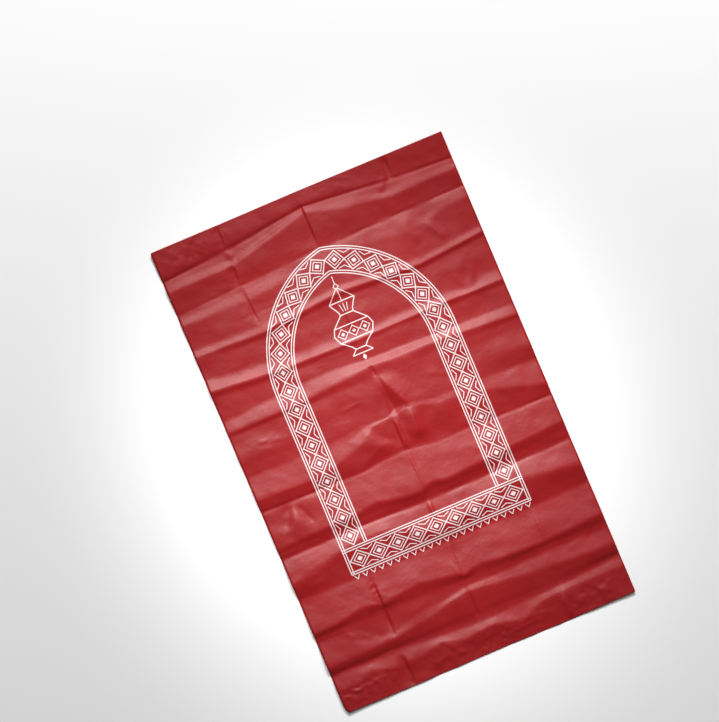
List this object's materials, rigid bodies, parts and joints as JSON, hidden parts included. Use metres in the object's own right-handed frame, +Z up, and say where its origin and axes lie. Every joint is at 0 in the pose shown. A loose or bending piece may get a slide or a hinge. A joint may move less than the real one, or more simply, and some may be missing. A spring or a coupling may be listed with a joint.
{
  "type": "travel prayer mat",
  "caption": "Thin coated cloth prayer mat, a plain-cut rectangle opened out flat, with soft packing folds across and along it.",
  "frame": {"origin": "centre of the mat's outline box, on the floor it lies on", "axes": "+Y along the mat to its top end, +X to its right side, +Z up from the floor"},
  "size_m": [0.699, 1.11, 0.0097],
  "materials": {
    "coated_cloth": null
  },
  "bodies": {
    "root": {"mat_sheet": "coated_cloth"}
  },
  "joints": []
}
